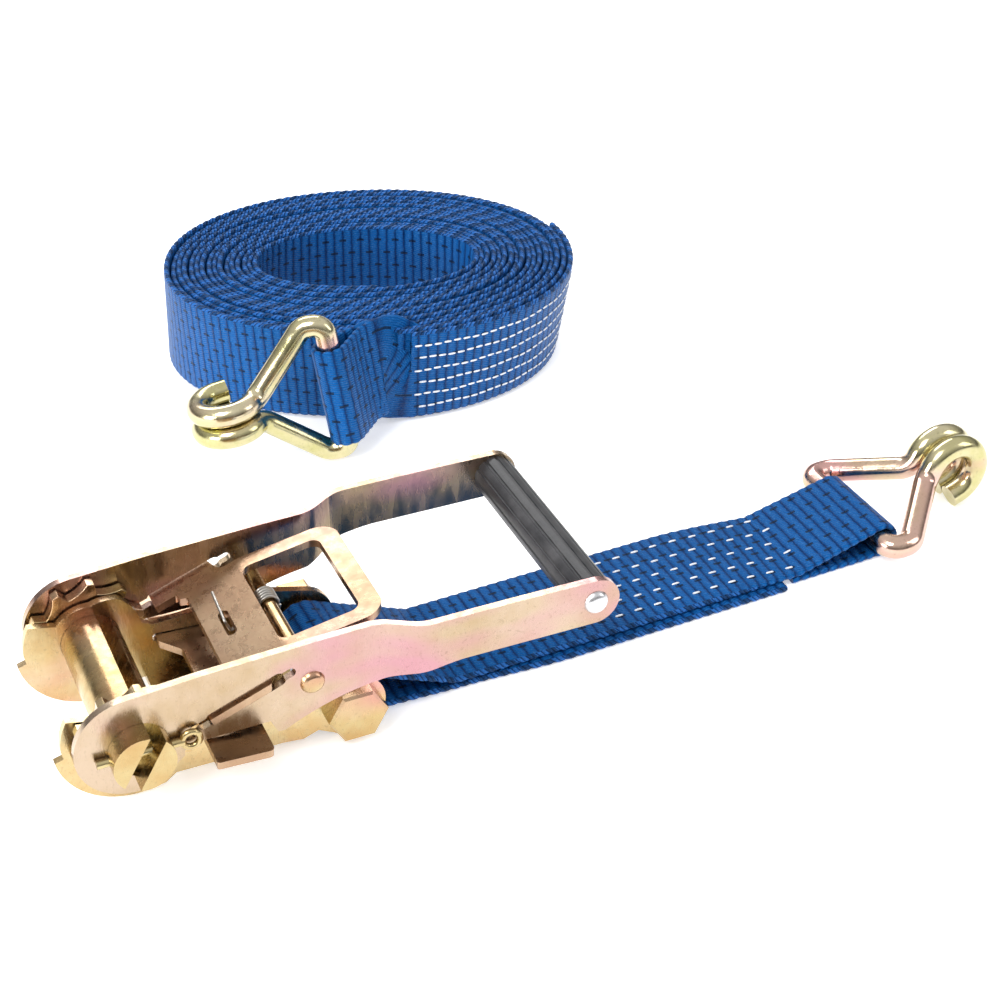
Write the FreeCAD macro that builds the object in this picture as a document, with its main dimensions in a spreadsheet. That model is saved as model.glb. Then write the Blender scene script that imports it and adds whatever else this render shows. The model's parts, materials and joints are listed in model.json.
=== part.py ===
import FreeCAD, Part
import math
import os

from FreeCAD import Placement, Rotation, Vector

# A 50 mm ratchet tie down: the ratchet with its short strap and claw hook, and the long
# strap wound into an oval coil with a second claw hook on its sewn end.
#
# Ratchet frame of reference, millimetres: x = 0 and y = 0 on the spindle, +X towards the
# short strap, +Z up, z = 0 on the surface that everything lies on. When all pieces exist
# the whole set is moved sideways so that its middle is at x = 0, y = 0.

SIZES = {
    # webbing
    "webbing_width": 50.0,
    "webbing_thickness": 2.8,
    # ratchet frame
    "frame_gap": 54.0,
    "plate_thickness": 3.0,
    "lobe_radius": 28.0,
    "upper_lobe_radius": 25.0,
    "bolt_reach": 81.5,
    "bolt_height": 13.0,
    "bolt_diameter": 12.0,
    "bolt_end_radius": 13.0,
    "sleeve_diameter": 14.0,
    "floor_height": 5.0,
    "rivet_diameter": 6.0,
    # spindle and ratchet wheels
    "spindle_height": 28.5,
    "spindle_diameter": 22.4,
    "spindle_slot": 6.0,
    "spindle_overhang": 9.0,
    "slot_angle": 60.0,
    "running_gap": 0.1,
    "side_gap": 0.9,
    "wheel_thickness": 4.6,
    "wheel_tip_radius": 22.0,
    "wheel_root_radius": 17.6,
    "tooth_count": 10.0,
    "pin_diameter": 3.2,
    # handle
    "handle_end_radius": 20.5,
    "grip_reach": 171.5,
    "grip_height": 45.0,
    "grip_end_radius": 9.5,
    "grip_diameter": 17.0,
    "grip_bolt_diameter": 8.0,
    "grip_spread": 8.5,
    "rod_reach": 64.0,
    "rod_height": 37.0,
    "rod_diameter": 6.0,
    # handle pawl, which is the sliding plate with the finger loop
    "slide_angle": 20.7,
    "pawl_thickness": 3.0,
    "pawl_clearance": 0.4,
    "pawl_offset": 5.6,
    "pawl_tip": 25.9,
    "pawl_travel": 6.0,
    "finger_loop_end": 97.0,
    # frame pawl
    "frame_pawl_reach": 24.0,
    "frame_pawl_height": 22.0,
    "frame_pawl_slope": 3.4,
    "frame_pawl_travel": 3.5,
    "frame_pawl_ear": 12.5,
    "spring_wire": 1.2,
    # short strap and hooks
    "short_strap_length": 238.5,
    "short_strap_turn": 1.9,
    "strap_play": 1.2,
    "hook_wire": 10.0,
    "hook_play": 0.4,
    "hook_corner": 10.0,
    "hook_reach": 48.3,
    "hook_curl_radius": 12.3,
    # long strap coil and its hook
    "coil_length": 195.0,
    "coil_width": 151.9,
    "coil_wall": 46.3,
    "coil_turn": -18.4,
    "coil_x": 188.3,
    "coil_y": 234.0,
    "coil_foot_x": -2.5,
    "coil_foot_y": 7.0,
    "coil_foot_ratio": 0.975,
    "tail_joins_at": 0.12,
    "long_hook_x": 142.1,
    "long_hook_y": 148.3,
    "long_hook_turn": 159.0,
    "long_hook_lean": 3.6,
    "long_hook_tip": 8.5,
}

X_AXIS = Vector(1, 0, 0)
Y_AXIS = Vector(0, 1, 0)
Z_AXIS = Vector(0, 0, 1)
SIDES = {"left": 1, "right": -1}  # left is +Y

doc = FreeCAD.newDocument("ratchet_tie_down")
sheet = doc.addObject("Spreadsheet::Sheet", "Sizes")
for row, (alias, value) in enumerate(SIZES.items(), start=1):
    sheet.set("A%d" % row, alias)
    sheet.set("B%d" % row, repr(value))
    sheet.setAlias("B%d" % row, alias)
doc.recompute()

pieces = {}


def size(alias):
    """A driving dimension, read from the sheet."""
    return float(sheet.get(alias))


def bind(obj, prop, expression):
    """Ties a property to the sheet; names of driving dimensions stand for their cells."""
    words = expression.replace("(", "( ").replace(")", " )").split()
    obj.setExpression(prop, " ".join("Sizes." + w if w in SIZES else w for w in words))


def polar(radius, degrees, centre=(0.0, 0.0)):
    angle = math.radians(degrees)
    return centre[0] + radius * math.cos(angle), centre[1] + radius * math.sin(angle)


def arc_step(radius, start, end, centre):
    """A step of an outline along an arc about a centre, between two angles in degrees."""
    return ("arc", polar(radius, (start + end) / 2, centre), polar(radius, end, centre))


def outline(start, *steps):
    """Closed outline: ("line", x, y) and ("arc", middle, end) steps from a start point."""
    curves = []
    here = Vector(start[0], start[1], 0)
    for step in steps + (("line", start[0], start[1]),):
        if step[0] == "line":
            there = Vector(step[1], step[2], 0)
            if here.distanceToPoint(there) > 1e-6:
                curves.append(Part.LineSegment(here, there))
        else:
            there = Vector(step[2][0], step[2][1], 0)
            curves.append(Part.Arc(here, Vector(step[1][0], step[1][1], 0), there))
        here = there
    return curves


def rounded(corners):
    """Closed outline through (x, y, radius) corners, each rounded to its radius."""
    count = len(corners)
    steps = []
    for index, (x, y, radius) in enumerate(corners):
        corner = Vector(x, y, 0)
        before = Vector(*corners[index - 1][:2], 0) - corner
        after = Vector(*corners[(index + 1) % count][:2], 0) - corner
        if radius == 0:
            steps.append(("line", x, y))
            continue
        half = before.getAngle(after) / 2
        before.normalize()
        after.normalize()
        trim = radius / math.tan(half)
        first = corner + before * trim
        last = corner + after * trim
        inward = before + after
        inward.normalize()
        middle = corner + inward * (radius / math.sin(half) - radius)
        steps.append(("line", first.x, first.y))
        steps.append(("arc", (middle.x, middle.y), (last.x, last.y)))
    start = steps[0][1:] if steps[0][0] == "line" else steps[0][2]
    return outline(start, *steps[1:])


def circle(radius, centre=(0.0, 0.0)):
    return [Part.Circle(Vector(centre[0], centre[1], 0), Z_AXIS, radius)]


def half_moon(radius, flat):
    """The part of a circle above the line at height flat."""
    edge = math.sqrt(radius**2 - flat**2)
    return outline((-edge, flat), ("line", edge, flat), ("arc", (0, radius), (-edge, flat)))


def turned(curves, degrees):
    spin = FreeCAD.Matrix()
    spin.rotateZ(math.radians(degrees))
    for curve in curves:
        curve.transform(spin)
    return curves


def new_body(label):
    body = doc.addObject("PartDesign::Body", label)
    body.Label = label
    pieces[label] = body
    return body


def sketch_on(body, plane, curve_sets, offset="0"):
    """A sketch on one of the body's origin planes, moved along the plane's normal."""
    sketch = body.newObject("Sketcher::SketchObject", body.Label + "_sketch")
    support = [f for f in body.Origin.OriginFeatures if f.Role == plane][0]
    sketch.AttachmentSupport = [(support, "")]
    sketch.MapMode = "FlatFace"
    for curves in curve_sets:
        sketch.addGeometry(curves, False)
    bind(sketch, "AttachmentOffset.Base.z", offset)
    doc.recompute()
    return sketch


def pad(body, plane, curve_sets, length, offset="0", reverse=False):
    """Adds an extruded sketch. Plane normals: XY +Z, YZ +X, XZ -Y."""
    feature = body.newObject("PartDesign::Pad", body.Label + "_pad")
    feature.Profile = sketch_on(body, plane, curve_sets, offset)
    feature.Reversed = reverse
    bind(feature, "Length", length)
    doc.recompute()
    return feature


def pocket(body, plane, curve_sets, length, offset="0"):
    """Cuts an extruded sketch, against the plane's normal, and checks that it cut."""
    before = body.Shape.Volume
    feature = body.newObject("PartDesign::Pocket", body.Label + "_pocket")
    feature.Profile = sketch_on(body, plane, curve_sets, offset)
    bind(feature, "Length", length)
    doc.recompute()
    if body.Shape.Volume >= before - 1e-3:
        raise RuntimeError(body.Label + ": a pocket cut nothing")
    return feature


def code_shape(label, shape):
    """A piece whose shape is made with Part's own functions."""
    feature = doc.addObject("Part::Feature", label)
    feature.Label = label
    feature.Shape = shape
    pieces[label] = feature
    return feature


def face_of(curves):
    return Part.Face(Part.Wire([curve.toShape() for curve in curves]))


def prism_y(curves, low, high):
    """Solid between y = low and y = high from an outline drawn in (x, z)."""
    face = face_of(curves)
    face.rotate(Vector(), X_AXIS, 90)
    face.translate(Vector(0, low, 0))
    return face.extrude(Vector(0, high - low, 0))


def prism_z(curves, low, high):
    """Solid between z = low and z = high from an outline drawn in (x, y)."""
    face = face_of(curves)
    face.translate(Vector(0, 0, low))
    return face.extrude(Vector(0, 0, high - low))


def bent_path(points, radii):
    """Edges of straight runs joined by tangent arcs at the inner points."""
    edges = []
    here = points[0]
    for before, corner, after, radius in zip(points, points[1:], points[2:], radii):
        back = (before - corner).normalize()
        ahead = (after - corner).normalize()
        half = back.getAngle(ahead) / 2
        trim = radius / math.tan(half)
        middle = corner + (back + ahead).normalize() * (radius / math.sin(half) - radius)
        first = corner + back * trim
        last = corner + ahead * trim
        if here.distanceToPoint(first) > 1e-4:
            edges.append(Part.makeLine(here, first))
        edges.append(Part.Arc(first, middle, last).toShape())
        here = last
    edges.append(Part.makeLine(here, points[-1]))
    return edges


def rod_along(edges, rod_radius, start, direction):
    """Round rod swept along edges that leave the start point in a direction."""
    section = Part.Wire(Part.makeCircle(rod_radius, start, direction))
    return Part.Wire(edges).makePipeShell([section], True, True)


# Places that several pieces share.
HALF_GAP = size("frame_gap") / 2
PLATE = size("plate_thickness")
FRAME_OUT = HALF_GAP + PLATE
WHEEL_IN = FRAME_OUT + size("side_gap")
WHEEL_OUT = WHEEL_IN + size("wheel_thickness")
HANDLE_IN = WHEEL_OUT + size("side_gap")
HANDLE_OUT = HANDLE_IN + PLATE
SPINDLE_Z = size("spindle_height")
SPINDLE_R = size("spindle_diameter") / 2
SPINDLE_HOLE_R = SPINDLE_R + size("running_gap")
BOLT = (size("bolt_reach"), size("bolt_height"))
GRIP = (size("grip_reach"), size("grip_height"))
ROD = (size("rod_reach"), size("rod_height"))
AXIS = (0.0, SPINDLE_Z)

# Handle pawl: its plane passes below the spindle axis and climbs at slide_angle.
SLIDE = math.radians(size("slide_angle"))
SLIDE_DIR = Vector(math.cos(SLIDE), 0, math.sin(SLIDE))
SLIDE_UP = Vector(-math.sin(SLIDE), 0, math.cos(SLIDE))
SLIDE_FOOT = Vector(0, 0, SPINDLE_Z) - SLIDE_UP * size("pawl_offset")
PAWL_EAR_END = size("pawl_tip") + 24.0
PAWL_T = size("pawl_thickness")

# Frame pawl: its plane slopes gently down, away from the spindle.
FP_SLOPE = math.radians(size("frame_pawl_slope"))
FP_DIR = Vector(math.cos(FP_SLOPE), 0, -math.sin(FP_SLOPE))
FP_TIP = Vector(size("frame_pawl_reach"), 0, size("frame_pawl_height"))
FP_EAR_LENGTH = 21.0
FP_WEB_LENGTH = 26.0

LOOP_REST = 0.2  # the short strap's loop clears the ground by this much under the hook

# Claws: where the curl starts and ends, in degrees about its middle, and its straight tip.
CLAW_START = 155.0
CLAW_END = -70.0
CLAW_TAIL = 4.0


def on_slide(distance, height=0.0):
    """(x, z) of a point at a distance along the handle pawl's plane, and above it."""
    point = SLIDE_FOOT + SLIDE_DIR * distance + SLIDE_UP * height
    return point.x, point.z


def slot_outline(direction, foot, low, high, half_height):
    """Straight slot with round ends along a direction in the (x, z) plane."""
    up = Vector(-direction.z, 0, direction.x)

    def at(along, across):
        point = foot + direction * along + up * across
        return point.x, point.z

    near = low + half_height
    far = high - half_height
    return outline(
        at(near, half_height),
        ("arc", at(low, 0), at(near, -half_height)),
        ("line", *at(far, -half_height)),
        ("arc", at(high, 0), at(far, half_height)),
    )


def frame_outline():
    """Side of the frame: two guide lobes round the spindle and the strap bolt's round end."""
    lobe = size("lobe_radius")
    upper = size("upper_lobe_radius")
    end = size("bolt_end_radius")
    low = size("floor_height")
    notch = polar(upper - 0.4, 188, AXIS)
    return outline(
        polar(lobe, 189, AXIS),
        arc_step(lobe, 189, 272, AXIS),
        ("line", lobe * 0.35, SPINDLE_Z - lobe + 1.2),
        ("line", lobe * 0.5, low),
        ("line", BOLT[0] - 2.1 * end, low - 0.5),
        ("line", BOLT[0] - 1.5 * end, low - 1.4),
        ("line", BOLT[0] - 1.05 * end, low + 0.8),
        ("line", *polar(end, -126, BOLT)),
        arc_step(end, -126, 74, BOLT),
        ("line", BOLT[0] - end, BOLT[1] + 1.31 * end),
        ("line", upper * 1.6, SPINDLE_Z + 0.8),
        ("line", upper * 0.96, SPINDLE_Z - 0.2),
        ("line", *polar(SPINDLE_R + 8.4, 6, AXIS)),
        arc_step(SPINDLE_R + 8.4, 6, 52, AXIS),
        ("arc", polar(SPINDLE_R + 6.2, 68, AXIS), polar(SPINDLE_R + 4.0, 84, AXIS)),
        arc_step(SPINDLE_R + 4.0, 84, 140, AXIS),
        ("line", *polar(upper, 151, AXIS)),
        arc_step(upper, 151, 180, AXIS),
        ("line", *notch),
    )


def frame_plate(side):
    """Side plate of the frame with its half of the floor, turned in at the bottom."""
    sign = SIDES[side]
    body = new_body("frame_plate_" + side)
    plate_face = "frame_gap / 2"
    offset = plate_face if sign < 0 else "-1 * ( frame_gap / 2 + plate_thickness )"
    pad(body, "XZ_Plane", [frame_outline()], "plate_thickness", offset)
    reach = 0.45 * HALF_GAP
    floor_low = "floor_height" if sign < 0 else "floor_height + plate_thickness"
    first = size("lobe_radius") * 0.62
    last = size("frame_pawl_reach") + 41.0
    strip = [
        (first, -sign * reach, 3.0),
        (last, -sign * reach, 3.0),
        (last, sign * FRAME_OUT, 0),
        (first, sign * FRAME_OUT, 0),
    ]
    floor_holes = [circle(size("rivet_diameter") / 2, (x, 0.0)) for x in rivet_places()]
    pad(body, "XY_Plane", [rounded(strip)] + floor_holes, "plate_thickness", floor_low)
    slot = slot_outline(
        FP_DIR,
        FP_TIP,
        -1.2,
        FP_EAR_LENGTH + size("frame_pawl_travel") + 1.0,
        PAWL_T / 2 + size("pawl_clearance"),
    )
    holes = [circle(SPINDLE_HOLE_R, AXIS), circle(size("bolt_diameter") / 2, BOLT), slot]
    wall_start = "frame_gap / 2 + plate_thickness" if sign < 0 else "-1 * frame_gap / 2"
    pocket(body, "XZ_Plane", holes, "plate_thickness", wall_start)
    if side == "left":
        foot = size("floor_height") + PLATE
        top = size("frame_pawl_height") + 2.5
        stop = [(-9, foot, 0), (9, foot, 0), (9, top, 3.0), (-9, top, 3.0)]
        pad(body, "YZ_Plane", [rounded(stop)], "plate_thickness", "frame_pawl_reach + 38")


def rivet_places():
    start = size("frame_pawl_reach")
    return start + 5.0, start + 27.0


def floor_rivets():
    """Two domed rivets that hold the two halves of the floor together."""
    radius = size("rivet_diameter") / 2
    low = size("floor_height")
    high = low + 2 * PLATE
    head = 0.65 * radius
    for number, x in enumerate(rivet_places(), start=1):
        side = outline(
            (0, low - head),
            ("line", radius, low - head),
            ("arc", (radius * 1.5, low - head * 0.75), (radius * 1.65, low)),
            ("line", radius, low),
            ("line", radius, high),
            ("line", radius * 1.65, high),
            ("arc", (radius * 1.25, high + head * 0.75), (radius * 0.4, high + head)),
            ("line", 0, high + head),
        )
        body = new_body("floor_rivet_%d" % number)
        turn = body.newObject("PartDesign::Revolution", body.Label + "_turn")
        turn.Profile = sketch_on(body, "XZ_Plane", [side])
        turn.ReferenceAxis = (turn.Profile[0], ["V_Axis"])
        turn.Angle = 360
        doc.recompute()
        body.Placement = Placement(Vector(x, 0, 0), Rotation())


def hexagon(across_flats, centre):
    """Hexagon with a flat on top."""
    corner = across_flats / math.sqrt(3)
    points = [polar(corner, 60 * k, centre) for k in range(6)]
    return outline(points[0], *[("line", *p) for p in points[1:]])


def strap_bolt():
    """Hexagon bolt across the frame, its nut and the sleeve that the short strap turns on."""
    radius = size("bolt_diameter") / 2
    flats = 1.68 * size("bolt_diameter")
    head = 0.64 * size("bolt_diameter")
    bolt = new_body("strap_bolt")
    outer = "frame_gap / 2 + plate_thickness"
    pad(bolt, "XZ_Plane", [hexagon(flats, BOLT)], "0.64 * bolt_diameter", outer)
    shank = "frame_gap + 2 * plate_thickness + 0.95 * bolt_diameter"
    pad(bolt, "XZ_Plane", [circle(radius, BOLT)], shank, outer, reverse=True)
    unbroken = bolt.Tip
    edges = []
    for number, edge in enumerate(unbroken.Shape.Edges, start=1):
        if abs(edge.BoundBox.YMin + FRAME_OUT + head) < 1e-3 and edge.BoundBox.YLength < 1e-3:
            edges.append("Edge%d" % number)
    chamfer = bolt.newObject("PartDesign::Chamfer", "strap_bolt_chamfer")
    chamfer.Base = (unbroken, edges)
    chamfer.Size = 0.9
    doc.recompute()
    nut = new_body("strap_bolt_nut")
    ring = [hexagon(0.95 * flats, BOLT), circle(radius, BOLT)]
    pad(nut, "XZ_Plane", ring, "0.75 * bolt_diameter", "-1 * ( " + outer + " )", reverse=True)
    sleeve = new_body("strap_bolt_sleeve")
    ring = [circle(size("sleeve_diameter") / 2, BOLT), circle(radius, BOLT)]
    pad(sleeve, "XZ_Plane", ring, "frame_gap", "-1 * frame_gap / 2")


def frame_pawl():
    """Plate that slides in the frame's slots and stops the ratchet wheels."""
    ear = HANDLE_OUT + size("frame_pawl_ear")
    inner = HALF_GAP - 1.0
    tip = HALF_GAP - 4.5
    corners = [
        (0, -ear, 1.0),
        (FP_EAR_LENGTH, -ear, 2.0),
        (FP_EAR_LENGTH, -inner, 0.6),
        (FP_WEB_LENGTH, -inner, 2.0),
        (FP_WEB_LENGTH, inner, 2.0),
        (FP_EAR_LENGTH, inner, 0.6),
        (FP_EAR_LENGTH, ear, 2.0),
        (0, ear, 1.0),
        (0, tip, 1.5),
        (7.0, tip - 8.0, 4.0),
        (7.0, -tip + 8.0, 4.0),
        (0, -tip, 1.5),
    ]
    body = new_body("frame_pawl")
    pad(body, "XY_Plane", [rounded(corners)], "pawl_thickness", "-1 * pawl_thickness / 2")
    body.Placement = Placement(FP_TIP, Rotation(Y_AXIS, size("frame_pawl_slope")))


def helix_spring(label, radius, wire, turns, pitch, placement):
    """Round-wire coil spring along its own +Z."""
    path = Part.makeHelix(pitch, pitch * turns, radius)
    section = Part.Wire(Part.makeCircle(wire / 2, Vector(radius, 0, 0), Y_AXIS))
    spring = Part.Wire(path).makePipeShell([section], True, True)
    code_shape(label, spring).Placement = placement


def frame_pawl_spring():
    """Compression spring between the frame pawl and the floor's upturned stop."""
    wire = size("spring_wire")
    first = FP_TIP + FP_DIR * (FP_WEB_LENGTH + size("frame_pawl_travel") + 0.3)
    room = FP_TIP.x + 38.0 - first.x - 0.3
    turns = 4
    pitch = (room - wire) / turns
    place = Placement(first + Vector(wire / 2, 0, 0), Rotation(Z_AXIS, X_AXIS))
    helix_spring("frame_pawl_spring", 3.4, wire, turns, pitch, place)


def spindle():
    """Two half-round bars with the webbing slot between them, and their split pins."""
    reach = HANDLE_OUT + size("spindle_overhang")
    flat = size("spindle_slot") / 2
    pin_radius = size("pin_diameter") / 2
    pin_y = HANDLE_OUT + 0.5 + pin_radius
    spin = size("slot_angle")
    length = "2 * spindle_overhang + 4 * plate_thickness + 4 * side_gap"
    length += " + 2 * wheel_thickness + frame_gap"
    for name, turn in (("spindle_half_upper", spin), ("spindle_half_lower", spin + 180)):
        body = new_body(name)
        moon = turned(half_moon(SPINDLE_R, flat), turn)
        pad(body, "XZ_Plane", [moon], length, "-1 * ( " + length + " ) / 2")
        for sign in (1, -1):
            drill = [circle(pin_radius, (sign * pin_y, 0.0))]
            pocket(body, "YZ_Plane", drill, "4 * spindle_diameter", "2 * spindle_diameter")
        body.Placement = Placement(Vector(0, 0, SPINDLE_Z), Rotation())
        if abs(body.Shape.BoundBox.YMax - reach) > 1e-3:
            raise RuntimeError(name + ": length does not follow the plates")
    pin_half = SPINDLE_R + 4.3
    eye_radius = pin_radius + 1.6
    for side, sign in SIDES.items():
        shank = Part.makeCylinder(
            pin_radius, 2 * pin_half, Vector(-pin_half, sign * pin_y, SPINDLE_Z), X_AXIS
        )
        eye = Part.makeTorus(
            eye_radius,
            pin_radius * 0.75,
            Vector(pin_half + eye_radius - 0.6, sign * pin_y, SPINDLE_Z),
            Y_AXIS,
        )
        code_shape("spindle_pin_" + side, shank.fuse(eye).removeSplitter())


def ratchet_wheels():
    """Toothed wheels outside the frame plates, driven by the two half-round bars."""
    count = int(size("tooth_count"))
    pitch = 360.0 / count
    tip = size("wheel_tip_radius")
    root = size("wheel_root_radius")
    flat = size("spindle_slot") / 2
    for side, sign in SIDES.items():
        start = polar(root, 0)
        steps = []
        for tooth in range(count):
            base = tooth * pitch
            steps.append(("line", *polar(tip, base + 0.14 * pitch)))
            steps.append(arc_step(tip, base + 0.14 * pitch, base + 0.34 * pitch, (0, 0)))
            hollow = polar(root + 0.05 * (tip - root), base + 0.80 * pitch)
            steps.append(("arc", hollow, polar(root, base + pitch)))
        body = new_body("ratchet_wheel_" + side)
        curve_sets = [outline(start, *steps)]
        for turn in (size("slot_angle"), size("slot_angle") + 180):
            curve_sets.append(turned(half_moon(SPINDLE_R, flat), turn))
        inner = "frame_gap / 2 + plate_thickness + side_gap"
        if sign < 0:
            pad(body, "XZ_Plane", curve_sets, "wheel_thickness", inner)
        else:
            offset = "-1 * ( " + inner + " + wheel_thickness )"
            pad(body, "XZ_Plane", curve_sets, "wheel_thickness", offset)
        body.Placement = Placement(Vector(0, 0, SPINDLE_Z), Rotation())


def handle_outline():
    """Side of the handle: big round end, cam recess over the frame pawl, slim grip arm."""
    big = size("handle_end_radius")
    small = size("grip_end_radius")
    centre = (-2.0, SPINDLE_Z + 2.0)
    ear_start = size("frame_pawl_reach")
    ear_end = ear_start + FP_EAR_LENGTH + size("frame_pawl_travel")
    roof = size("frame_pawl_height") + PAWL_T / 2 + 1.1
    return outline(
        polar(big, 92, centre),
        arc_step(big, 92, 292, centre),
        ("line", 0.66 * ear_start, roof - 4.5),
        ("arc", (0.72 * ear_start, roof - 0.7), (0.86 * ear_start, roof)),
        ("line", ear_end - 1.0, roof),
        ("line", ear_end + 1.6, roof - 5.6),
        ("line", ear_end + 4.2, roof - 5.8),
        ("arc", (ear_end + 20, roof + 0.9), (ear_end + 40, roof + 5.0)),
        ("arc", (ear_end + 54, roof + 9.2), (ear_end + 70, roof + 11.4)),
        ("line", *polar(small, 268, GRIP)),
        arc_step(small, 268, 448, GRIP),
        ("arc", (ear_end + 62, GRIP[1] + small + 0.6), (ear_end + 20, GRIP[1] + small)),
        ("line", ear_end - 24, GRIP[1] + small - 1.6),
    )


def handle_plates():
    """Side plates of the handle, joggled outwards between the cross rod and the grip."""
    spread = size("grip_spread")
    bend_start = ROD[0] + 26.0
    bend_end = bend_start + 14.0
    ear_room = PAWL_T / 2 + size("pawl_clearance")
    narrow_low = size("pawl_tip") - 8.2
    narrow_high = PAWL_EAR_END + size("pawl_travel") + 4.0
    for side, sign in SIDES.items():
        inner = HANDLE_IN
        outer = HANDLE_OUT
        left_edge = -size("handle_end_radius") - 10
        right_edge = GRIP[0] + size("grip_end_radius") + 10
        strip = [
            (left_edge, sign * inner, 0),
            (bend_start, sign * inner, 14),
            (bend_end, sign * (inner + spread), 14),
            (right_edge, sign * (inner + spread), 0),
            (right_edge, sign * (outer + spread), 0),
            (bend_end, sign * (outer + spread), 14),
            (bend_start, sign * outer, 14),
            (left_edge, sign * outer, 0),
        ]
        bent = prism_z(rounded(strip), -10, 100)
        low, high = sorted((sign * (inner - 1), sign * (outer + spread + 1)))
        plate = bent.common(prism_y(handle_outline(), low, high))
        cuts = [
            prism_y(circle(SPINDLE_HOLE_R, AXIS), low, high),
            prism_y(circle(size("rod_diameter") / 2, ROD), low, high),
            prism_y(circle(size("grip_bolt_diameter") / 2, GRIP), low, high),
            prism_y(
                slot_outline(SLIDE_DIR, SLIDE_FOOT, narrow_low, narrow_high, ear_room), low, high
            ),
            prism_y(
                slot_outline(
                    SLIDE_DIR, SLIDE_FOOT, narrow_low + 6.5, narrow_high - 4.0, ear_room + 1.0
                ),
                low,
                high,
            ),
        ]
        for cut in cuts:
            plate = plate.cut(cut)
        code_shape("handle_plate_" + side, plate.removeSplitter())


def handle_rod():
    """Cross rod of the handle, riveted over outside the plates."""
    radius = size("rod_diameter") / 2
    head = 0.65 * radius
    body = new_body("handle_cross_rod")
    crown = radius * 0.4
    side = outline(
        (0, -HANDLE_OUT - head),
        ("line", crown, -HANDLE_OUT - head),
        ("arc", (radius * 1.2, -HANDLE_OUT - head * 0.75), (radius * 1.55, -HANDLE_OUT)),
        ("line", radius, -HANDLE_OUT),
        ("line", radius, HANDLE_OUT),
        ("line", radius * 1.55, HANDLE_OUT),
        ("arc", (radius * 1.2, HANDLE_OUT + head * 0.75), (crown, HANDLE_OUT + head)),
        ("line", 0, HANDLE_OUT + head),
    )
    turn = body.newObject("PartDesign::Revolution", "handle_cross_rod_turn")
    turn.Profile = sketch_on(body, "XY_Plane", [side])
    turn.ReferenceAxis = (turn.Profile[0], ["V_Axis"])
    turn.Angle = 360
    doc.recompute()
    body.Placement = Placement(Vector(ROD[0], 0, ROD[1]), Rotation())


def handle_grip():
    """Ribbed plastic sleeve between the handle plates, with its bolt and nut."""
    radius = size("grip_diameter") / 2
    bolt_radius = size("grip_bolt_diameter") / 2
    inner = HANDLE_IN + size("grip_spread")
    outer = inner + PLATE
    rib_count = 12
    rib = math.radians(360.0 / rib_count)
    steps = []
    for number in range(rib_count):
        base = math.degrees(number * rib)
        width = math.degrees(rib)
        steps.append(arc_step(radius, base, base + 0.72 * width, (0, 0)))
        groove = polar(radius - 0.6, base + 0.86 * width)
        steps.append(("arc", groove, polar(radius, base + width)))
    grip = new_body("handle_grip")
    ring = [outline(polar(radius, 0), *steps), circle(bolt_radius)]
    gap = "frame_gap + 2 * plate_thickness + 4 * side_gap + 2 * wheel_thickness + 2 * grip_spread"
    pad(grip, "XZ_Plane", ring, gap, "-1 * ( " + gap + " ) / 2")
    grip.Placement = Placement(Vector(GRIP[0], 0, GRIP[1]), Rotation())
    if abs(grip.Shape.BoundBox.YMax - inner) > 1e-3:
        raise RuntimeError("handle_grip: length does not follow the plates")
    bolt = new_body("grip_bolt")
    head = 0.27 * size("grip_bolt_diameter")
    side = outline(
        (0, -outer - head),
        ("line", bolt_radius * 0.4, -outer - head),
        ("arc", (bolt_radius * 0.9, -outer - head * 0.75), (bolt_radius * 1.2, -outer)),
        ("line", bolt_radius, -outer),
        ("line", bolt_radius, outer + 5.5),
        ("line", 0, outer + 5.5),
    )
    turn = bolt.newObject("PartDesign::Revolution", "grip_bolt_turn")
    turn.Profile = sketch_on(bolt, "XY_Plane", [side])
    turn.ReferenceAxis = (turn.Profile[0], ["V_Axis"])
    turn.Angle = 360
    doc.recompute()
    bolt.Placement = grip.Placement
    nut = new_body("grip_bolt_nut")
    ring = [hexagon(1.6 * size("grip_bolt_diameter"), (0, 0)), circle(bolt_radius)]
    pad(nut, "XZ_Plane", ring, "5", "-1 * ( ( " + gap + " ) / 2 + plate_thickness )", reverse=True)
    nut.Placement = grip.Placement


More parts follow.
